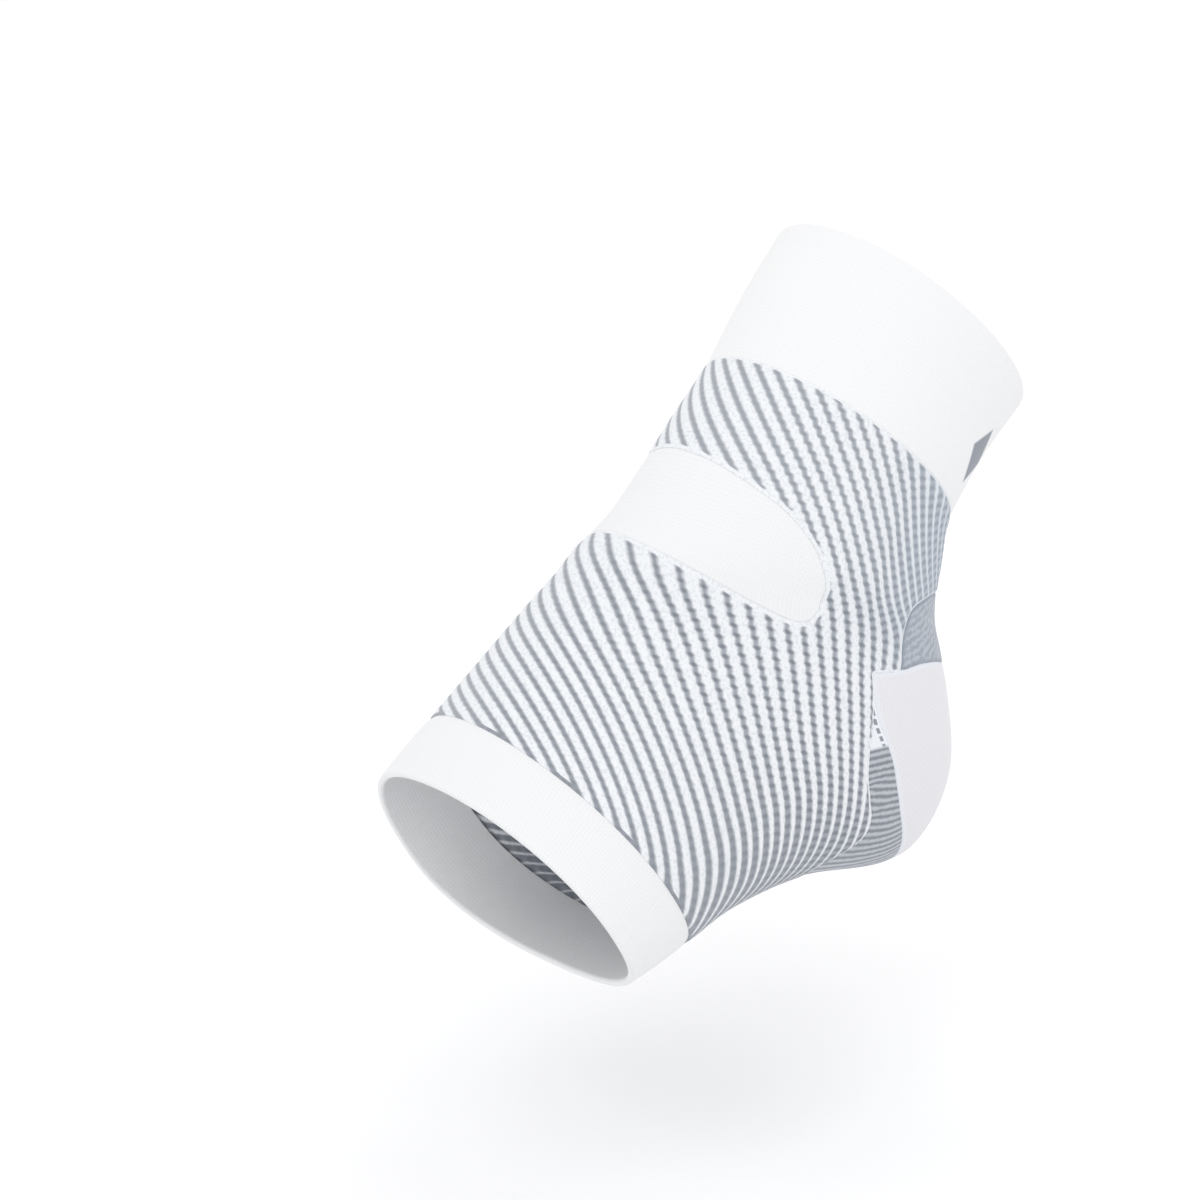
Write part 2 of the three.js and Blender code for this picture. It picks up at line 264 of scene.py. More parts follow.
# %% The welts
WELT_WALL = 1.8
TONGUE, TONGUE_TOP = 0.6, 0.27
FACE_STEPS, RIM_STEPS, WELT_COLUMNS = 40, 10, 360
# shares of the welt's width, from its border to its rim
TUCK_WIDTH, GROOVE_PLACE, GROOVE_WIDTH = 0.05, 0.86, 0.03


def welt_profile(border, rim, puff, groove):
    """Arrays of row, shift along the foot and depth for a closed outline of a welt.

    The faces bulge by puff as a half sine, a groove lies where the fold is stitched down, and the rim is
    half a circle across the wall."""
    way = np.sign(rim - border)
    share = np.sin(np.linspace(0, 1, FACE_STEPS) * np.pi / 2)
    row = border + (rim - border) * share
    crown = puff * np.sin(np.pi * share) ** 0.7
    tuck = TONGUE_TOP * np.exp(-((share / TUCK_WIDTH) ** 2))
    dent = groove * np.exp(-(((share - GROOVE_PLACE) / GROOVE_WIDTH) ** 2))
    turn = np.linspace(0, np.pi, RIM_STEPS + 1)[1:-1]
    radius = WELT_WALL / 2
    rows = np.concatenate([[border], row, np.full(len(turn), rim), row[::-1], [border]])
    shift = np.concatenate([[-TONGUE], 0 * row, radius * np.sin(turn), 0 * row, [-TONGUE]]) * way
    depth = np.concatenate([
        [-TONGUE_TOP], crown - tuck - dent, radius * np.cos(turn) - radius,
        np.full(FACE_STEPS + 1, -WELT_WALL)])
    return rows, shift, depth


def welt(name, border, rim, puff, groove):
    """The profile carried round the foot: each point moves along the foot and outwards from the face."""
    rows, shift, depth = welt_profile(border, rim, puff, groove)
    angle = np.arange(WELT_COLUMNS) * 360 / WELT_COLUMNS
    grid_row, grid_angle = np.meshgrid(rows, angle, indexing="ij")
    point, along, out = surface_frame(grid_row, grid_angle)
    point = point + along * shift[:, None, None] + out * depth[:, None, None]
    faces = grid_faces(np.arange(grid_row.size).reshape(grid_row.shape), wrap=(1, 1))
    if rim < border:
        faces = faces[:, ::-1]
    uv = stitches(grid_row.ravel(), grid_angle.ravel())
    return build_mesh(name, point.reshape(-1, 3), [faces], {"knit": uv}, {})


toe_band = welt("toe_band_welt", BAND_EDGE, TOE_RIM, puff=0.25, groove=0.12)
ankle_cuff = welt("ankle_cuff_welt", CUFF_EDGE, CUFF_RIM, puff=0.3, groove=0.12)

# %% [markdown]
# ## The borders of the inset zones
#
# The instep patch and the heel's three zones have curved outlines. Each outline is a short table: how
# far an angle is from the middle of the zone, and the row where the zone starts and ends there.

# %% The outlines
# away, low, high
PATCH_EDGES = np.array([
    [0, 6.05, 7.65], [20, 5.88, 7.61], [40, 5.65, 7.5], [55, 5.53, 7.36],
    [66, 5.53, 7.12], [72, 5.68, 6.8], [75, 5.95, 6.45],
])
# away, gusset low, pocket low, pocket high, panel high
HEEL_EDGES = np.array([
    [0, 2.85, 3.86, 6.22, 7.5], [20, 2.88, 3.88, 6.19, 7.47], [34, 2.97, 3.93, 6.12, 7.4],
    [47, 3.25, 4.02, 6.05, 7.31], [59, 3.62, 4.15, 5.92, 7.1], [67, 3.82, 4.31, 5.79, 6.82],
    [71, 3.9, 4.42, 5.71, 6.3], [74, 3.97, 4.52, 5.66, 5.7], [80, 4.17, 4.7, 5.55, 5.55],
    [84.5, 4.5, 4.86, 5.47, 5.47], [87.5, 5.02, 5.1, 5.4, 5.4],
])
PATCH_MIDDLE, HEEL_MIDDLE = 90, -90


def outline(edges, low, high, count=61):
    """Angle away from the middle and the two border rows at evenly spaced steps down a table.

    The three columns are joined by one smooth curve each."""
    at = smooth(edges, np.linspace(0, len(edges) - 1, count))
    return at[:, 0], at[:, low], at[:, high]


def turn_between(angle, middle):
    """Degrees from a middle to an angle, the short way round and without a sign."""
    return np.abs((angle - middle + 180) % 360 - 180)


def within(row, angle, middle, edge):
    """True where a place lies inside an outline: near enough to its middle and between its two rows."""
    away = turn_between(angle, middle)
    low, high = (np.interp(away, edge[0], border) for border in edge[1:])
    return (away < edge[0][-1]) & (row > low) & (row < high)


PATCH_OUTLINE = outline(PATCH_EDGES, 1, 2)
HEEL_OUTLINE = outline(HEEL_EDGES, 1, 4)
print("patch reaches", PATCH_OUTLINE[0][-1], "degrees round, heel zones reach", HEEL_OUTLINE[0][-1])

# %% [markdown]
# ## The way the ribs run
#
# The ribs are columns of the knit that wind round the foot, from the toe band to the cuff, and fan out
# over the ankle. They could be drawn as curves, each with points of its own. Here a rib counter gives
# every place a number that grows round the foot, with the middle of a grey line at each whole number and
# 42 ribs all round. A chart says which rib passes six angles of each section, and over the rest of the
# turn, under the sole and behind the heel, the ribs are evenly spread.

# %% The rib counter
CHART_START, SPOKES, WAVES = -45, 8, 5
# the rib at -45 degrees, 0 (outer side), 45, 90 (front), 135 and 180 (inner side), from band to cuff
RIB_CHART = np.array([
    [-9.5, -5.0, 0.5, 4.9, 9.2, 15.2],
    [-12.9, -8.7, -4.1, 0.0, 4.1, 10.3],
    [-19.7, -13.8, -8.0, -3.7, 0.6, 6.1],
    [-28.8, -19.8, -11.2, -6.3, -2.3, 2.4],
    [-33.0, -22.5, -13.1, -7.9, -3.9, 0.6],
    [-29.8, -22.2, -14.1, -9.3, -5.5, -0.9],
    [-31.3, -23.9, -16.1, -11.5, -7.8, -2.7],
    [-34.3, -27.3, -20.9, -16.3, -12.2, -7.1],
    [-35.1, -29.9, -24.7, -20.1, -15.5, -10.0],
])


def rib_waves(chart):
    """What each section adds to an even spread of ribs, as the sizes of waves round the foot.

    The chart is filled up over the hidden side by even steps to its first rib come round again. A
    Fourier transform of the eight numbers, less an even spread, gives the cosine and sine sizes."""
    hidden = chart[:, -1:] + (chart[:, :1] + RIBS - chart[:, -1:]) * np.array([1, 2]) / 3
    uneven = np.hstack([chart, hidden]) - RIBS * np.arange(SPOKES) / SPOKES
    waves = np.fft.rfft(uneven) / SPOKES * np.array([1, 2, 2, 2, 1])
    return np.hstack([waves.real, -waves.imag])


RIB_WAVES = rib_waves(RIB_CHART)


def rib_count(row, angle):
    """The rib number at a place: an even share of the turn plus the waves, of no to four whole turns,
    whose sizes are joined smoothly from section to section."""
    sizes = smooth(RIB_WAVES, row - BAND_EDGE)
    turns = np.radians(angle - CHART_START)[..., None] * np.arange(WAVES)
    waves = (sizes[..., :WAVES] * np.cos(turns) + sizes[..., WAVES:] * np.sin(turns)).sum(axis=-1)
    return RIBS * (angle - CHART_START) / 360 + waves


FAN_STEPS = 720
fan = np.linspace(-90, 270, FAN_STEPS + 1)
sample_rows = np.linspace(BAND_EDGE, CUFF_EDGE, 17)[:, None]
crowding = np.diff(rib_count(sample_rows, fan[None, :])) * FAN_STEPS / RIBS
print("ribs crowd from", crowding.min().round(2), "to", crowding.max().round(2), "of an even spread")

# %% [markdown]
# ## The ribbed body
#
# A grid of rows and angles would cut across the ribs, and relief on it would look jagged. So the grid's
# columns follow the ribs: for every row, the angle is read back from the rib number. Eight columns
# carry one rib, and the relief is then exact with few faces. The zones' outlines are cut out of this
# grid triangle by triangle, as dough is cut with a cutter.

# %% The grid that follows the ribs
PER_RIB = 8
ROWS_PER_SECTION = 18
LAY = 2.4


def rib_grid():
    """Row, angle, rib number, twist number and skew of every grid point.

    The angle is where the count, which grows with the angle, reaches the column's rib number. The twist
    number is the distance along the column from the toe band, in lays of the twisted yarn. The skew is
    how much that number changes on the way square across one rib: its step from column to column, less
    what the step gains along the rib."""
    rows = np.linspace(BAND_EDGE, CUFF_EDGE, ROWS_PER_SECTION * (CUFF_EDGE - BAND_EDGE) + 1)
    ribs = np.arange(RIBS * PER_RIB) / PER_RIB
    count = rib_count(rows[:, None], fan[None, :])
    turns = (ribs[None, :] - count[:, :1]) % RIBS
    angle = np.stack([np.interp(turn, line - line[0], fan) for turn, line in zip(turns, count)])
    row, rib = np.broadcast_to(rows[:, None], angle.shape), np.broadcast_to(ribs, angle.shape)
    points = foot_surface(row, angle)
    twist = lengths_along(points) / LAY
    along = unit(np.gradient(points, axis=0))
    across = np.roll(points, -1, axis=1) - np.roll(points, 1, axis=1)
    gained = (across * along).sum(axis=-1) / LAY
    skew = (np.roll(twist, -1, axis=1) - np.roll(twist, 1, axis=1) - gained) * PER_RIB / 2
    return np.stack([row, angle, rib, twist, skew], -1)


grid = rib_grid()
print("grid of", grid.shape[0], "rows and", grid.shape[1], "columns")
print("longest rib in mm:", round(grid[-1, :, 3].max() * LAY))

# %% The cutter
HALVINGS = 12
PERIODS = np.array([NO_PERIOD, 360, RIBS, NO_PERIOD, NO_PERIOD])


def between(first, second, share):
    """Places at a share of the way from first to second, the short way round for angles and ribs."""
    step = (second - first + PERIODS / 2) % PERIODS - PERIODS / 2
    return first + step * share[:, None]


def turned(triangles, flags):
    """The triangles with their corners turned on, so that a flagged one comes first."""
    turn = (np.argmax(flags, axis=1)[:, None] + np.arange(3)) % 3
    return np.take_along_axis(triangles, turn, 1)


def cut_out(places, triangles, inside):
    """The triangles outside a shape, with those on its border trimmed to it.

    A cut edge is halved again and again to find where it leaves the shape. A triangle with one corner
    inside leaves a four-sided rest, and one with two corners inside leaves a smaller triangle."""
    flags = inside(places)[triangles]
    count = flags.sum(axis=1)
    one = turned(triangles[count == 1], flags[count == 1])
    two = turned(triangles[count == 2], ~flags[count == 2])
    pairs = np.concatenate([one[:, [1, 0]], one[:, [2, 0]], two[:, [0, 1]], two[:, [0, 2]]])
    edges, which = np.unique(pairs, axis=0, return_inverse=True)
    start, end = places[edges[:, 0]], places[edges[:, 1]]
    kept, lost = np.zeros(len(edges)), np.ones(len(edges))
    for _ in range(HALVINGS):
        middle = (kept + lost) / 2
        is_in = inside(between(start, end, middle))
        kept, lost = np.where(is_in, kept, middle), np.where(is_in, middle, lost)
    cuts = between(start, end, kept)
    parts = np.cumsum([len(one), len(one), len(two)])
    first, second, third, fourth = np.split(which.ravel() + len(places), parts)
    trimmed = np.concatenate([
        np.stack([first, one[:, 1], one[:, 2]], -1), np.stack([first, one[:, 2], second], -1),
        np.stack([two[:, 0], third, fourth], -1)])
    return np.concatenate([places, cuts]), np.concatenate([triangles[count == 0], trimmed])


def used_only(places, triangles):
    """The same mesh without the places that no triangle uses."""
    used, where = np.unique(triangles, return_inverse=True)
    return places[used], where.reshape(triangles.shape)


places = grid.reshape(-1, grid.shape[-1])
faces = grid_faces(np.arange(len(places)).reshape(grid.shape[:2]), wrap=(0, 1))
triangles = np.concatenate([faces[:, [0, 1, 2]], faces[:, [0, 2, 3]]])
for hole in ((PATCH_MIDDLE, PATCH_OUTLINE), (HEEL_MIDDLE, HEEL_OUTLINE)):
    places, triangles = cut_out(places, triangles, lambda p: within(p[:, 0], p[:, 1], *hole))
places, triangles = used_only(places, triangles)
print("after the cuts:", len(places), "places and", len(triangles), "triangles in one face")

# %% [markdown]
# ## A wall from one face
#
# The knit gets its thickness inwards. At its borders the wall thins to a soft lip that covers the tongue
# of the zone beside it. For that, every point needs its distance to the nearest border, so blocks of
# points are compared with all the border points at once.


# %% Walls and lips
RIBBED_WALL = 1.5
RIB_RELIEF, RIB_ROUNDNESS = 0.24, 0.8
LIP_TOP, LIP_BOTTOM = 0.12, 0.22
LIP_WIDTH, RELIEF_FADE = 1.0, 1.6
BLOCK = 2000


def border_edges(faces):
    """The edges that only one face uses, with the direction in which that face goes round."""
    edges = np.stack([faces, np.roll(faces, -1, axis=1)], -1).reshape(-1, 2)
    _, first, times = np.unique(np.sort(edges, axis=1), axis=0, return_index=True, return_counts=True)
    return edges[first[times == 1]]


def nearest(points, targets):
    """The number of each point's nearest target, worked out in blocks to save memory."""
    blocks = np.array_split(points, max(1, len(points) // BLOCK))
    return np.concatenate([((block[:, None] - targets) ** 2).sum(-1).argmin(1) for block in blocks])


def distance_to(points, targets):
    """Each point's distance to the nearest of the targets."""
    return np.linalg.norm(points - targets[nearest(points, targets)], axis=1)


def ease(value, reach):
    """0 at the border, 1 from reach on, with a smooth S between."""
    share = np.clip(value / reach, 0, 1)
    return share * share * (3 - 2 * share)


def wall(name, row, angle, faces, top, bottom, uv_maps, attributes):
    """A closed piece: the face lifted by top, a copy sunk to bottom and turned, and rims between them."""
    point, _, out = surface_frame(row, angle)
    points = np.concatenate([point + out * top[:, None], point + out * bottom[:, None]])
    inner_id = len(row)
    first, second = border_edges(faces).T
    rims = np.stack([second, first, first + inner_id, second + inner_id], -1)
    doubled = {key: np.tile(values, (2, 1)) for key, values in uv_maps.items()}
    extra = {key: np.tile(values, 2) for key, values in attributes.items()}
    return build_mesh(name, points, [faces, faces[:, ::-1] + inner_id, rims], doubled, extra)


row, angle, rib, twist, skew = places.T
flat_points = foot_surface(row, angle)
lip = distance_to(flat_points, flat_points[np.unique(border_edges(triangles))])
relief = RIB_RELIEF * (0.5 - 0.5 * np.cos(2 * np.pi * rib)) ** RIB_ROUNDNESS
top = relief * ease(lip, RELIEF_FADE) - LIP_TOP * (1 - ease(lip, LIP_WIDTH))
bottom = -RIBBED_WALL + (RIBBED_WALL - LIP_BOTTOM) * (1 - ease(lip - TONGUE, LIP_WIDTH))

# %% [markdown]
# ## What the material needs to know
#
# A grey line is about 1.4 mm wide where the ribs are far apart, and just over a third of the rib where
# they crowd. At the back and under the arch the grey yarn lies closer and the white is thin. The lines
# stop a little short of each zone, with a rounded end. Near the toe band and at the front the yarn's
# twist hardly shows. All this depends on the place, so it is worked out here and stored on the points,
# for the material to read.


# %% Line widths and line ends
LINE_SHARE, LINE_WIDEST = 0.183, 0.69
DENSE_SHARE = 0.40
SIDE_SLIP, LEAST_TWIST = 0.36, 0.25
PATCH_MARGIN, HEEL_MARGIN, CUFF_MARGIN, FAR_FROM_END = 0.7, 0.3, 0.2, 3
END_POINTS = 12


def rib_spacing(row, angle):
    """Distance between neighbouring ribs in millimetres, which is one over the count's steepness.

    The count's slopes along the foot and round it give its steepness, weighed with the squares and the
    product of the two directions' lengths, because the directions don't meet at right angles."""
    along, around = slopes(foot_surface, row, angle)
    by_row, by_angle = slopes(rib_count, row, angle)
    a, b, c = ((p * q).sum(axis=-1) for p, q in ((along, along), (along, around), (around, around)))
    steepness = (c * by_row**2 - 2 * b * by_row * by_angle + a * by_angle**2) / (a * c - b * b)
    return 1 / np.sqrt(steepness)


def border_of(middle, edge):
    """Points along both border rows of an outline and its two ends, on both sides of its middle."""
    away, low, high = edge
    end = np.linspace(low[-1], high[-1], END_POINTS)
    rows = np.concatenate([low, high, end])
    turns = np.concatenate([away, away, np.full(END_POINTS, away[-1])])
    return np.concatenate([foot_surface(rows, middle + way * turns) for way in (-1, 1)])


to_patch = distance_to(flat_points, border_of(PATCH_MIDDLE, PATCH_OUTLINE))
to_heel = distance_to(flat_points, border_of(HEEL_MIDDLE, HEEL_OUTLINE))
to_cuff, to_band = (np.linalg.norm(flat_points - foot_surface(edge, angle), axis=1)
                    for edge in (CUFF_EDGE, BAND_EDGE))
line_end = np.minimum.reduce([to_patch - PATCH_MARGIN, to_heel - HEEL_MARGIN, to_cuff - CUFF_MARGIN])

# Each trait starts some degrees away from the front or at some row, and is full after a stretch of them.
# The dark grey is paler up the leg, and within 45 degrees of a place just inside the front.
FRONT, PALE_PLACE = 90, 110
side = turn_between(angle, FRONT)
at_back = ease(side - 66, 72) * ease(row - 5.0, 1.5)
at_sole = ease(side - 60, 85) * (1 - ease(row - 3.2, 1.8))
dense = np.maximum(at_back, at_sole)
twisted = LEAST_TWIST + (1 - LEAST_TWIST) * ease(row - 1.8, 2.4) * ease(side - 15, 40)
pale = np.maximum(ease(row - 6, 2), ease(45 - turn_between(angle, PALE_PLACE), 30))
spacing = rib_spacing(row, angle)
line_share = np.minimum(LINE_SHARE, LINE_WIDEST / spacing)
print("ribs lie", spacing.min().round(1), "to", spacing.max().round(1), "mm apart")
ribbed = wall(
    "ribbed_body_knit", row, angle, triangles, top, bottom,
    {"ribs": np.stack([rib, twist], -1), "knit": stitches(row, angle)},
    {"at_cord": at_back, "pale": pale, "skew": -skew, "twisted": twisted,
     "line_end": np.minimum(line_end, FAR_FROM_END), "to_band": np.minimum(to_band, FAR_FROM_END),
     "line_share": line_share + dense * (DENSE_SHARE - line_share),
     "slip": SIDE_SLIP * line_share * twisted * (1 - dense)})

# %% [markdown]
# ## The inset zones
#
# Each inset zone is a grid between its two border rows, closer near the borders. It reaches a little
# under the lip of the ribbed body, as a tongue, so the knit looks continuous from zone to zone.


# %% Inset zones
INSET_COLUMNS, INSET_LINES = 140, 60
DIP_START, DIP_REACH, LEAST_DIP, PUFF_REACH = 0.25, 0.8, 0.03, 6.0


def inset_places(edges, middle, low, high, last):
    """Row and angle of a grid inside an outline, with both spacings drawn in towards the borders by a
    cosine, so that the lips are round."""
    spread = 0.5 - 0.5 * np.cos(np.linspace(0, np.pi, INSET_LINES))
    swing = np.sin(np.linspace(-np.pi / 2, np.pi / 2, INSET_COLUMNS))
    at = smooth(edges, np.abs(swing) * last)
    angle = middle + np.sign(swing) * at[:, 0]
    row = at[:, low] + spread[:, None] * (at[:, high] - at[:, low])
    return row, np.broadcast_to(angle, row.shape)


def step_out(row, angle, margin):
    """The same grid with one more line all round it, moved out by margin millimetres.

    A border point moves on in the direction of the step that led to it."""
    def more(values):
        return np.pad(values, 1, mode="edge")

    wide_row, wide_angle = more(row), more(angle)
    per_row, per_degree = (np.linalg.norm(slope, axis=-1) for slope in slopes(foot_surface, row, angle))
    wide_row[0] -= margin / more(per_row)[0]
    wide_row[-1] += margin / more(per_row)[-1]
    wide_angle[:, 0] -= margin / more(per_degree)[:, 0]
    wide_angle[:, -1] += margin / more(per_degree)[:, -1]
    return wide_row, wide_angle


def inset(name, zone, columns, last, thickness, puff, fan_from=None):
    """A zone as a wall. Its face dips under the neighbours' lips by the tongue's depth, and is puffed out
    with an S from the border inwards. The columns are those of its two border rows in the zone's table."""
    row, angle = inset_places(*zone, *columns, last)
    border = np.pad(np.zeros((INSET_LINES - 2, INSET_COLUMNS - 2), bool), 1, constant_values=True)
    inside = np.pad(np.ones(row.shape), 1).ravel()
    border_points = foot_surface(row, angle)[border]
    row, angle = (values.ravel() for values in step_out(row, angle, TONGUE))
    points = foot_surface(row, angle)
    depth_in = distance_to(points, border_points) * inside
    dip = TONGUE_TOP * (1 - ease(depth_in + DIP_START, DIP_REACH)) + LEAST_DIP
    face = puff * ease(depth_in, PUFF_REACH) - dip
    faces = grid_faces(np.arange(row.size).reshape(INSET_LINES + 2, INSET_COLUMNS + 2))
    uv_maps = {"knit": stitches(row, angle)}
    if fan_from is not None:
        uv_maps["fan"] = fan_from(points)
    bottom = np.full(row.size, -thickness)
    return wall(name, row, angle, faces, face, bottom, uv_maps, {"from_border": depth_in})


# %% The gusset's courses, and the four insets
COURSE_TILT, TILT_FROM, TILT_FADE = 0.55, 15, 25
GUSSET_TOP = 60


def along_pocket(points):
    """For each point, the place of its course along the pocket's lower border, and how far off that
    border it is, in millimetres.

    Under the heel the courses stand square to the border. Up both sides they lie level, for which the
    place is lowered by a share of the distance from the border."""
    away, low, _ = outline(HEEL_EDGES, 2, 3, count=801)
    row, angle = np.concatenate([low[::-1], low[1:]]), np.concatenate([-away[::-1], away[1:]])
    border = foot_surface(row, HEEL_MIDDLE + angle)
    length = lengths_along(border)
    beside = nearest(points, border)
    up = np.abs(length[beside] - length[-1] / 2)
    off = np.linalg.norm(points - border[beside], axis=1)
    return np.stack([up - COURSE_TILT * off * ease(up - TILT_FROM, TILT_FADE), off], -1)


PATCH_END, PANEL_END, HEEL_END = len(PATCH_EDGES) - 1, 7, len(HEEL_EDGES) - 1
PATCH_ZONE, HEEL_ZONE = (PATCH_EDGES, PATCH_MIDDLE), (HEEL_EDGES, HEEL_MIDDLE)
patch = inset("instep_patch_knit", PATCH_ZONE, (1, 2), PATCH_END, thickness=1.4, puff=0.2)
panel = inset("heel_cord_panel_knit", HEEL_ZONE, (3, 4), PANEL_END, thickness=1.5, puff=0.1)
gusset = inset("heel_gusset_knit", HEEL_ZONE, (1, 2), HEEL_END, thickness=1.5, puff=0.1,
               fan_from=along_pocket)
pocket = inset("heel_pocket_knit", HEEL_ZONE, (2, 3), HEEL_END, thickness=1.7, puff=0.35)

# %% [markdown]
# ## Colours, nodes and stitches
#
# The sleeve is knitted from polyamide microfibre with elastane, a matt cloth with a faint bloom at its
# edges, which sheen makes. The loops could be modelled, but at less than a millimetre they are finer
# than the render shows, so they are a pattern of wales and courses in bump, and in the plain knits also
# in colour, as painted shade in the hollows.

# %% Helpers for the materials
FIBRE_IOR = 1.53
BUMP_DEPTH = 0.2
COURSE_SLANT = 0.9
SOFT = {"interpolation_type": "SMOOTHSTEP"}


def linear(hex_colour):
    """An sRGB hex colour as linear RGBA: each channel is (c + 0.055) / 1.055 to the power 2.4, or
    c / 12.92 where it is very dark."""
    channels = [int(hex_colour[k:k + 2], 16) / 255 for k in (1, 3, 5)]
    return [((c + 0.055) / 1.055) ** 2.4 if c > 0.04045 else c / 12.92 for c in channels] + [1.0]


def add_node(tree, kind, inputs=(), **settings):
    """A shader node with its settings. A kind in capitals is the operation of a Math node.

    inputs lists or maps what goes into the sockets: a value, a hex colour, the name of a number stored
    on the points, an output, or a node whose first output is meant. A MapRange lists its value, the
    range it comes from and the range it goes to.
    A Mix of colours has its share at input 0, its colours at 6 and 7, and its result at output 2."""
    if kind.isupper():
        kind, settings = "Math", {"operation": kind}
    made = tree.nodes.new("ShaderNode" + kind)
    for key, value in settings.items():
        setattr(made, key, value)
    for key, value in inputs.items() if isinstance(inputs, dict) else enumerate(inputs):
        if isinstance(value, str) and value.startswith("#"):
            value = linear(value)
        elif isinstance(value, str):
            value = add_node(tree, "Attribute", attribute_name=value).outputs["Fac"]
        if isinstance(value, bpy.types.Node):
            value = value.outputs[0]
        if isinstance(value, bpy.types.NodeSocket):
            tree.links.new(value, made.inputs[key])
        else:
            made.inputs[key].default_value = value
    return made


def new_material(name, roughness, sheen):
    """An empty material with a Principled shader for cloth, and its node tree."""
    material = bpy.data.materials.new(name)
    material.use_nodes = True
    shader = material.node_tree.nodes["Principled BSDF"]
    constants = {"Roughness": roughness, "IOR": FIBRE_IOR, "Specular IOR Level": 0.3,
                 "Sheen Weight": sheen, "Sheen Roughness": 0.5}
    for key, value in constants.items():
        shader.inputs[key].default_value = value
    return material, material.node_tree, shader


def stitch_height(tree):
    """The knit's loops as a height from 0 to 1: a ridge for each wale, broken up by slanting courses."""
    part = add_node(tree, "SeparateXYZ", [add_node(tree, "UVMap", uv_map="knit")])
    wale = add_node(tree, "PINGPONG", [part.outputs[0], 0.5])
    shifted = add_node(tree, "MULTIPLY_ADD", [wale, COURSE_SLANT, part.outputs[1]])
    course = add_node(tree, "PINGPONG", [shifted, 0.5])
    return add_node(tree, "ADD", [wale, course])


def fibre_noise(tree, grain):
    """Soft unevenness of the yarn from 0 to 1, with a grain in millimetres, in the object's own place."""
    place = add_node(tree, "TexCoord")
    return add_node(tree, "TexNoise", {
        "Vector": place.outputs["Object"], "Scale": 1 / (grain * MM), "Detail": 1.0})


def finish_material(tree, shader, colour, height, strength):
    """Feeds a colour and a bump of the given strength to the shader."""
    bump = add_node(tree, "Bump", {"Height": height, "Strength": strength, "Distance": BUMP_DEPTH * MM})
    tree.links.new(colour, shader.inputs["Base Color"])
    tree.links.new(bump.outputs[0], shader.inputs["Normal"])


# %% [markdown]
# ## Ribbed knit
#
# The body is a plated rib knit. Its white ribs stand up, and between them a grey covered elastane yarn
# lies in short floats, each of which starts a little to one side of the last. From near, a line is a
# staircase of dashes, darkest where one float tucks under the next, and from afar a soft grey rope. The
# dashes could be small meshes, but there are thousands of them, so they are drawn on the ribs' own UV
# map: its first number counts the ribs and its second the floats, 2.4 mm each.


# %% The grey lines
# in millimetres: the fade at a line's end, and the reach of the knots and bridges at the toe band
END_FADE, KNOT_FULL, KNOT_GONE, BRIDGE = 0.6, 0.2, 1.6, 0.75
FUZZ_GRAIN, KNOT_SIZE, BRIDGE_EVERY = 0.8, 1.3, 3.0
# as shares of a rib: the line's fuzz, how far its soft edge starts inside it, and that edge's width
FUZZ, EDGE_IN, EDGE_WIDTH = 0.08, 0.08, 0.25
# as shares of a float: its tucked stretch, and the distances from there of the darkest and palest grey
TUCK, CORE_FULL, CORE_GONE = 0.4, 0.05, 0.4
MIDDLE_GREY = 0.6


def grey_lines(tree):
    """Mask of the grey lines, and how dark they are: more at one end of each float, as far as the yarn's
    twist shows.

    A line is where the rib count is near a whole number. Its middle swings to one side over the dark
    first two fifths of each float, where it is tucked in, and back over the rest. The floats' ends lie
    square to their line, for which the skew takes out the difference from rib to rib. Near the toe band
    the line thickens, and there every third gap is bridged."""
    part = add_node(tree, "SeparateXYZ", [add_node(tree, "UVMap", uv_map="ribs")])
    count, floats = part.outputs[0], part.outputs[1]

    off_line = add_node(tree, "WRAP", [count, 0.5, -0.5])
    square = add_node(tree, "MULTIPLY_ADD", [off_line, "skew", floats])
    in_float = add_node(tree, "WRAP", [square, 1.0, 0.0])
    tucked = add_node(tree, "MapRange", [in_float, 0.0, TUCK, 1.0, -1.0])
    run = add_node(tree, "MapRange", [in_float, TUCK, 1.0, 0.0, 2.0])
    swing = add_node(tree, "ADD", [tucked, run])
    slipped = add_node(tree, "MULTIPLY_ADD", [swing, "slip", off_line])
    away = add_node(tree, "ABSOLUTE", [slipped])
    fuzzy = add_node(tree, "MULTIPLY_ADD", [fibre_noise(tree, FUZZ_GRAIN), FUZZ, away])

    rounded = add_node(tree, "MapRange", ["line_end", 0.0, END_FADE], interpolation_type="SMOOTHERSTEP")
    knot = add_node(tree, "MapRange", ["to_band", KNOT_FULL, KNOT_GONE, KNOT_SIZE, 1.0])
    full = add_node(tree, "MULTIPLY", ["line_share", knot])
    reach = add_node(tree, "MULTIPLY", [full, rounded])
    start = add_node(tree, "SUBTRACT", [reach, EDGE_IN])
    stop = add_node(tree, "ADD", [start, EDGE_WIDTH])
    stripe = add_node(tree, "MapRange", [fuzzy, start, stop, 1.0, 0.0], **SOFT)
    ended = add_node(tree, "MULTIPLY", [stripe, rounded])

    by_band = add_node(tree, "LESS_THAN", ["to_band", BRIDGE])
    in_three = add_node(tree, "WRAP", [count, BRIDGE_EVERY, 0.0])
    one_gap = add_node(tree, "LESS_THAN", [in_three, 1.0])
    bridge = add_node(tree, "MULTIPLY", [by_band, one_gap])
    line = add_node(tree, "MAXIMUM", [ended, bridge])

    low_end = add_node(tree, "SUBTRACT", [square, TUCK / 2])
    round_it = add_node(tree, "WRAP", [low_end, 0.5, -0.5])
    from_core = add_node(tree, "ABSOLUTE", [round_it])
    core = add_node(tree, "MapRange", [from_core, CORE_FULL, CORE_GONE, 0.5, -0.5], **SOFT)
    darkness = add_node(tree, "MULTIPLY_ADD", [core, "twisted", MIDDLE_GREY])
    return line, darkness


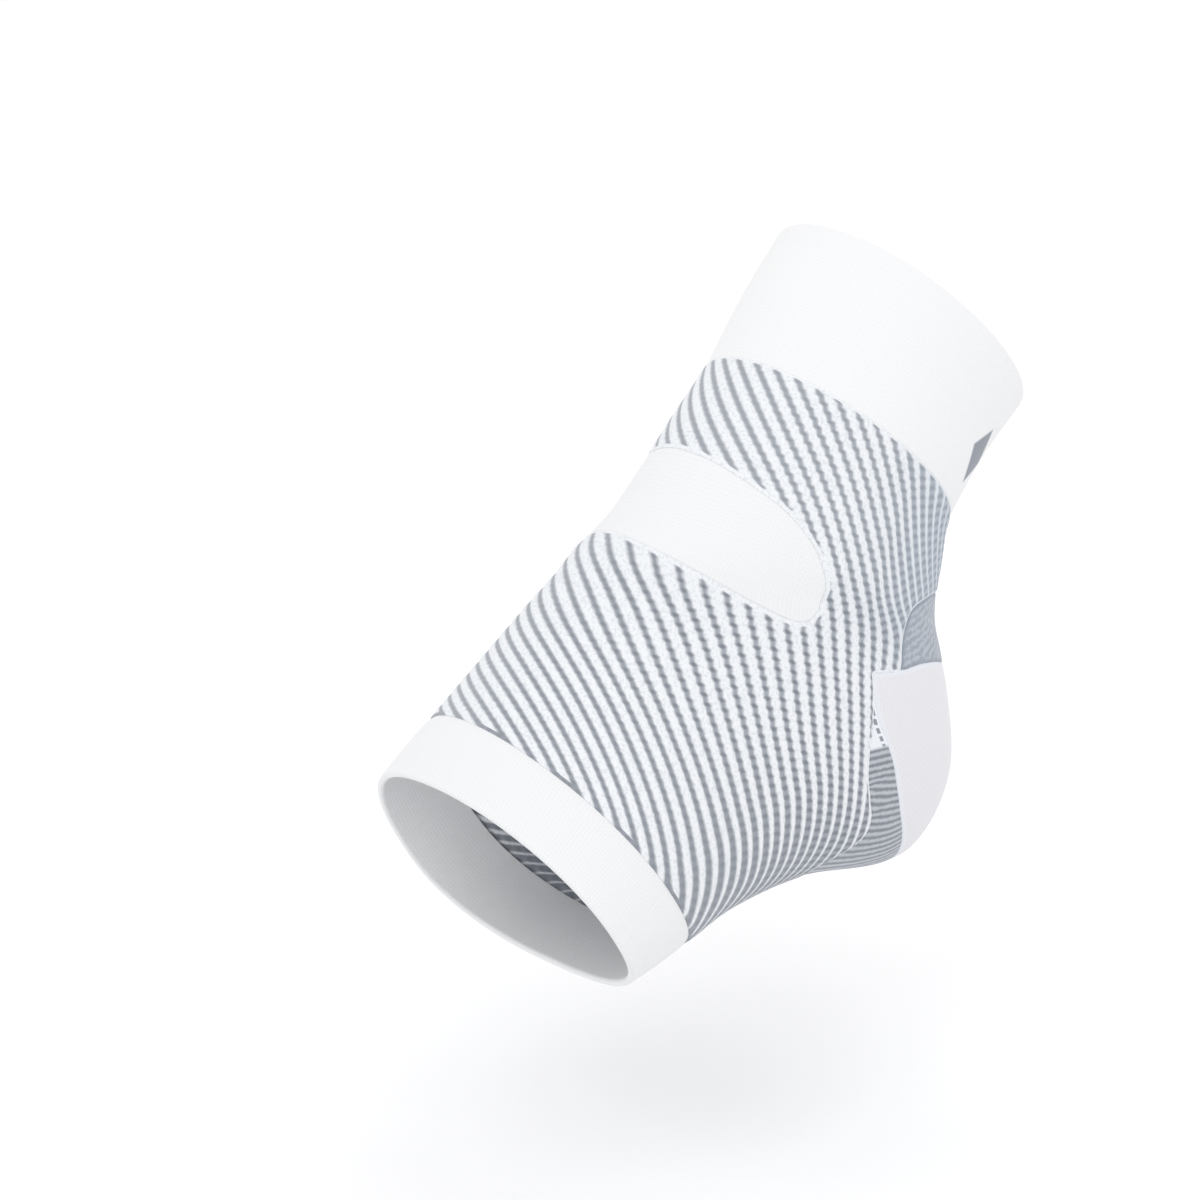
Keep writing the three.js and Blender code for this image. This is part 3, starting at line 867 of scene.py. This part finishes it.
# %% The ribbed material
WHITE_GRAIN, WHITE_RANGE = 0.7, (0.3, 0.55)


def ribbed_knit():
    """Grey floats on white ribs. Behind the ankle the grey is paler and bluer, and the white a bit grey."""
    material, tree, shader = new_material("rib_knitted_polyamide_elastane", roughness=0.85, sheen=0.2)
    line, core = grey_lines(tree)
    loops = stitch_height(tree)
    uneven = add_node(tree, "MapRange", [fibre_noise(tree, WHITE_GRAIN), *WHITE_RANGE], **SOFT)
    # each mix: its share, and two colours or the names of mixes above it
    mixes = {
        "dark end": ("pale", "#7A7F88", "#93989F"),
        "float": (core, "#A0A5AD", "dark end"),
        "dense float": (core, "#AFB7C1", "#929AA6"),
        "grey": ("at_cord", "float", "dense float"),
        "white": (uneven, "#D6DADF", "#E5E7EA"),
        "dense white": ("at_cord", "white", "#CDD4DC"),
        "colour": (line, "dense white", "grey"),
    }
    made = {}
    for name, (share, first, second) in mixes.items():
        mix = {0: share, 6: made.get(first, first), 7: made.get(second, second)}
        made[name] = add_node(tree, "Mix", mix, data_type="RGBA").outputs[2]
    cord = add_node(tree, "MULTIPLY", [core, line])
    height = add_node(tree, "MULTIPLY_ADD", [loops, 0.5, cord])
    finish_material(tree, shader, made["colour"], height, 0.5)
    return material


ribs_material = ribbed_knit()
print("made", ribs_material.name, "with", len(ribs_material.node_tree.nodes), "nodes")

# %% [markdown]
# ## White jersey and the heel's plated knit
#
# The welts and the patch are plain jersey in bright white yarn, so smooth that only a faint grain shows.
# The heel pocket is knitted tighter, with a second yarn behind the first. It is painted a little greyer
# than the other whites, as painted shade, with a cool edge where it joins its neighbours. The back of
# the cuff carries a plain lozenge, knitted in with the grey yarn.


# %% Plain knits
LOZENGE_EDGE = (0.9, 1.05)


def plain_knit(name, hollow_shade_hex, loop_hex, strength):
    """A darker colour in the hollows as painted shade, a lighter one on the loops, and the loops as bump."""
    material, tree, shader = new_material(name, roughness=0.8, sheen=0.2)
    loops = stitch_height(tree)
    colour = add_node(tree, "Mix", {0: loops, 6: hollow_shade_hex, 7: loop_hex}, data_type="RGBA")
    finish_material(tree, shader, colour.outputs[2], loops, strength)
    return material


def paint_over(material, mask, colour_hex):
    """Mixes another colour over a material's own, where the mask is 1."""
    tree = material.node_tree
    socket = tree.nodes["Principled BSDF"].inputs["Base Color"]
    mix = {0: mask, 6: socket.links[0].from_socket, 7: colour_hex}
    tree.links.new(add_node(tree, "Mix", mix, data_type="RGBA").outputs[2], socket)


def tint_edge(material, reach, strength, colour_hex):
    """Another colour along a zone's border, from the border to reach millimetres in."""
    tree = material.node_tree
    mask = add_node(tree, "MapRange", ["from_border", 0.3 * reach, reach, strength, 0.0], **SOFT)
    paint_over(material, mask, colour_hex)


def add_lozenge(material, row, angle, half_width, half_height, colour_hex):
    """Knits a plain lozenge into a material: grey where the two offsets from its middle, each as a share
    of its half size, add up to less than one."""
    tree = material.node_tree
    wale, course = stitches(np.array(row), np.array(float(angle)))
    knit = add_node(tree, "UVMap", uv_map="knit")
    offset = add_node(tree, "VectorMath", [knit, (wale, course, 0)], operation="SUBTRACT")
    size = add_node(tree, "VectorMath", [offset], operation="ABSOLUTE")
    total = add_node(tree, "VectorMath", [size, (1 / half_width, 1 / half_height, 0)],
                     operation="DOT_PRODUCT")
    mask = add_node(tree, "MapRange", [total.outputs["Value"], *LOZENGE_EDGE, 1.0, 0.0])
    paint_over(material, mask, colour_hex)


# Each plain knit's first colour is painted shade in the hollows between its loops.
white = plain_knit("white_jersey_welt", "#E1E2E4", "#E9E9EA", 0.25)
cuff_white = plain_knit("white_jersey_cuff", "#E4E5E6", "#EBEBEC", 0.25)
add_lozenge(cuff_white, row=9.8, angle=324, half_width=8, half_height=9, colour_hex="#868C96")
# The heel pocket's colours are a little greyer than the other whites: painted shade.
heel_shaded_white = plain_knit("smooth_plated_heel_knit", "#D8D8DC", "#E1E1E4", 0.15)
tint_edge(heel_shaded_white, 1.6, 0.5, "#DFE4ED")
print("plain knits:", white.name, cuff_white.name, heel_shaded_white.name)

# %% [markdown]
# ## The grey zones of the heel
#
# The gusset and the heel cord panel are knitted with more grey than white. The gusset's courses are far
# enough apart to show as level lines, and towards its tip they give way to a single row of grey dashes.
# The panel's are so close that it looks like mottled blue-grey cloth, with a darker line at its seam.


# %% Striped and mottled knits
GREY_GRAIN, STRIPE_EDGE = 1.2, 0.2
DASH_OFF, DASH_HALF, DASH_SHARE = 1.3, 0.5, 0.65


def striped_knit(name, uv_name, slope, mottle, dark_hex, light_hex):
    """A grey knit with fine lines. A line's number is the dot product of the UV place with slope, and
    the yarn's unevenness breaks the lines up by mottle."""
    material, tree, shader = new_material(name, roughness=0.85, sheen=0.2)
    knit = add_node(tree, "UVMap", uv_map=uv_name)
    number = add_node(tree, "VectorMath", [knit, slope], operation="DOT_PRODUCT")
    wave = add_node(tree, "PINGPONG", [number.outputs["Value"], 0.5])
    uneven = add_node(tree, "MULTIPLY_ADD", [fibre_noise(tree, GREY_GRAIN), mottle, wave])
    middle = 0.25 + mottle / 2
    share = add_node(tree, "MapRange", [uneven, middle - STRIPE_EDGE, middle + STRIPE_EDGE], **SOFT)
    colour = add_node(tree, "Mix", {0: share, 6: dark_hex, 7: light_hex}, data_type="RGBA")
    finish_material(tree, shader, colour.outputs[2], uneven, 0.5)
    return material


def white_tip(material, fade_from, fade_to):
    """The gusset's tip: white beyond fade_to millimetres up the pocket's border, with one row of dashes
    close to that border."""
    tree = material.node_tree
    part = add_node(tree, "SeparateXYZ", [add_node(tree, "UVMap", uv_map="fan")])
    tip = add_node(tree, "MapRange", [part.outputs[0], fade_from, fade_to], **SOFT)
    paint_over(material, tip, "#E3E6EA")
    beside = add_node(tree, "COMPARE", [part.outputs[1], DASH_OFF, DASH_HALF])
    steps = add_node(tree, "WRAP", [part.outputs[0], LAY, 0.0])
    dash = add_node(tree, "LESS_THAN", [steps, DASH_SHARE * LAY])
    both = add_node(tree, "MULTIPLY", [beside, dash])
    in_tip = add_node(tree, "MULTIPLY", [both, tip])
    paint_over(material, in_tip, "#8D929B")


gusset_grey = striped_knit("grey_gusset_knit", "fan", (0.5, 0, 0), 0.3, "#7D828A", "#B5BAC1")
white_tip(gusset_grey, GUSSET_TOP, GUSSET_TOP + 1.5)
panel_grey = striped_knit("grey_heel_cord_knit", "knit", (0.3, 0.5, 0), 1.5, "#969DA7", "#ADB3BC")
tint_edge(panel_grey, 1.3, 0.7, "#868F9C")
print("grey knits:", gusset_grey.name, panel_grey.name)

# %% [markdown]
# ## Riding, replacing and the cloth's flat sizes
#
# Each piece stands for one node of the CAD model and stays at its place. All of them are cloth, so each
# is listed with the size it has flat and relaxed, before it is pulled over a foot. Its worn area is about
# 1.3 times the flat one. The patch, the body and the heel's zones aren't rectangles, and their flat area
# is given too.

# %% Riding and replacing
PIECES = [
    # piece, node, slot, material, flat width and length in metres, flat area in square metres, rests on
    (toe_band, "toe_band", "plain_knit", white, (0.2, 0.018), None, ribbed),
    (ribbed, "ribbed_sleeve", "ribbed_knit", ribs_material, (0.21, 0.11), 0.0172, ankle_cuff),
    (patch, "instep_patch", "plain_knit", white, (0.065, 0.036), 0.00193, ribbed),
    (panel, "achilles_panel", "grey_knit", panel_grey, (0.058, 0.028), 0.00142, ribbed),
    (pocket, "heel_pocket", "heel_knit", heel_shaded_white, (0.1, 0.058), 0.0043, ribbed),
    (gusset, "heel_gusset", "grey_knit", gusset_grey, (0.15, 0.024), 0.00215, ribbed),
    (ankle_cuff, "ankle_cuff", "plain_knit", cuff_white, (0.18, 0.035), None, ribbed),
]


def worn_area(piece):
    """Half of the closed wall's area, in square metres, because the wall has two faces."""
    areas = np.empty(len(piece.data.polygons))
    piece.data.polygons.foreach_get("area", areas)
    return areas.sum() / 2


for piece, node_name, slot_name, material, flat, area, under in PIECES:
    piece.data.materials.append(material)
    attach(piece, "root")
    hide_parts(node_name)
    stretch = worn_area(piece) / (area or flat[0] * flat[1])
    print(piece.name, "worn area in cm2:", round(worn_area(piece) * 1e4, 1), "stretch:", round(stretch, 2))

# %% [markdown]
# ## Floor, light and camera
#
# The sleeve is held up as a foot would hold it, a little above a matt white board. The board reaches to
# the horizon and is as bright as the sky, so no line shows where they meet. One broad soft sun from above
# the camera gives the form its gentle shading. The camera looks at the outer side of the foot from in
# front, a little from above.

# %% Camera
AZIMUTH, ELEVATION = np.radians(53), np.radians(12)
DISTANCE = 0.7
TARGET = Vector((-0.039, 0.0, 0.0074))
SENSOR, FOCAL_PIXELS, PHOTO_PIXELS = 36, 2821, 1200
back = Vector((np.sin(AZIMUTH) * np.cos(ELEVATION), -np.cos(AZIMUTH) * np.cos(ELEVATION), np.sin(ELEVATION)))
camera_data = bpy.data.cameras.new("photo_camera")
camera_data.lens = SENSOR * FOCAL_PIXELS / PHOTO_PIXELS
camera_data.clip_start, camera_data.clip_end = 0.01, 2000
camera = add_object("photo_camera", camera_data)
turned = back.to_track_quat("Z", "Y").to_matrix().to_4x4()
camera.matrix_world = Matrix.Translation(TARGET + back * DISTANCE) @ turned
bpy.context.scene.camera = camera
print("lens in mm:", round(camera_data.lens, 1))

# %% Floor
FLOOR, REACH = -117, 500_000
corners = np.array([(x, y, FLOOR) for y in (-REACH, REACH) for x in (-REACH, REACH)])
floor = build_mesh("floor", corners, [np.array([[0, 1, 3, 2]])], {}, {})
floor_material, floor_tree, floor_shader = new_material("matt_white_board", roughness=0.9, sheen=0)
floor_shader.inputs["Base Color"].default_value = linear("#FAFAFB")
floor.data.materials.append(floor_material)

# %% Light
SUN_STRENGTH, SUN_WIDTH = 0.58, np.radians(50)
SUN_FROM = Vector((0.5, -0.5, 0.8))
world = bpy.data.worlds.new("studio")
bpy.context.scene.world = world
world.use_nodes = True
sky = world.node_tree.nodes["Background"].inputs
sky["Color"].default_value, sky["Strength"].default_value = linear("#FFFFFF"), 1.0
sun_data = bpy.data.lights.new("softbox", "SUN")
sun_data.energy, sun_data.angle = SUN_STRENGTH, SUN_WIDTH
sun = add_object("softbox", sun_data)
sun.matrix_world = SUN_FROM.to_track_quat("Z", "Y").to_matrix().to_4x4()
bpy.context.scene.view_settings.view_transform = "Standard"
print("light from", tuple(SUN_FROM), "with a strength of", SUN_STRENGTH)
